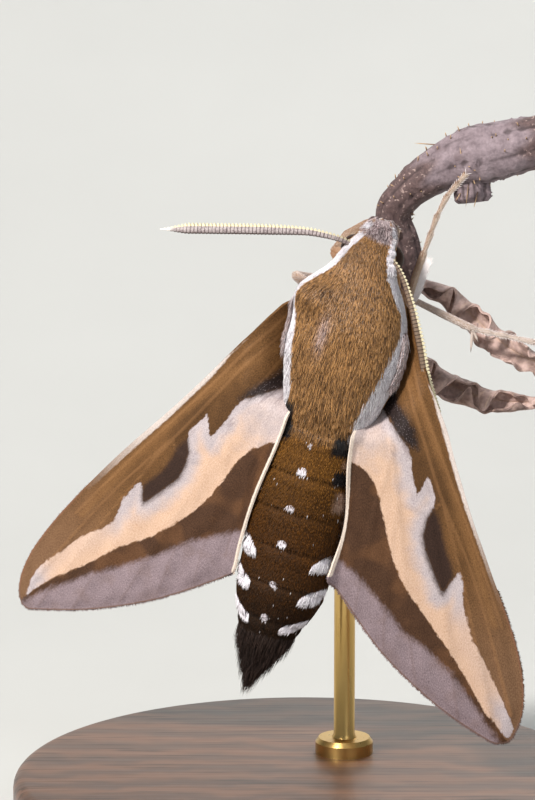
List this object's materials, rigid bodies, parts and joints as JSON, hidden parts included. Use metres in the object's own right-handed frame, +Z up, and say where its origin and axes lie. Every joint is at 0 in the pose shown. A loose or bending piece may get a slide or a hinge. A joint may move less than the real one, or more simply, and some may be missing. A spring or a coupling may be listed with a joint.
{
  "type": "bedstraw hawk-moth model on a display stand",
  "caption": "Life-size still bedstraw hawk-moth hanging head up on a cut length of withered thistle stem, held by a rod on a round base.",
  "frame": {"origin": "centre of the underside of the round stand base", "axes": "+Z up, from the base to the moth's head; the moth's back faces -Y; +X to the side of its right wing"},
  "size_m": [0.044, 0.044, 0.0541],
  "materials": {
    "head_fur": "short grey-brown fur scales with white edges",
    "eye": "glossy dark brown facets",
    "antenna_scales": "pale scales above, dark toothed underside",
    "body_fur": "dense golden-olive fur with a white stripe on each side",
    "abdomen_scales": "smooth olive-brown scales with white spots and tufts",
    "forewing_scales": "fine matt scales, olive brown with a cream band and a lilac-grey margin",
    "hindwing_scales": "fine matt scales, pink band with black base and border",
    "leg_scales": "pale and tan scales with spines",
    "withered_stem": "dry, wrinkled, dark purple-brown",
    "stained_wood": "satin dark walnut",
    "brass": "brushed"
  },
  "bodies": {
    "root": {"head": "head_fur", "eye_left": "eye", "eye_right": "eye", "palp_left": "head_fur", "palp_right": "head_fur", "antenna_left": "antenna_scales", "antenna_right": "antenna_scales", "thorax": "body_fur", "abdomen": "abdomen_scales", "forewing_left": "forewing_scales", "forewing_right": "forewing_scales", "hindwing_left": "hindwing_scales", "hindwing_right": "hindwing_scales", "foreleg_left": "leg_scales", "foreleg_right": "leg_scales", "midleg_left": "leg_scales", "midleg_right": "leg_scales", "hindleg_left": "leg_scales", "hindleg_right": "leg_scales", "perch": "withered_stem", "stand_base": "stained_wood", "stand_rod": "brass"}
  },
  "joints": []
}
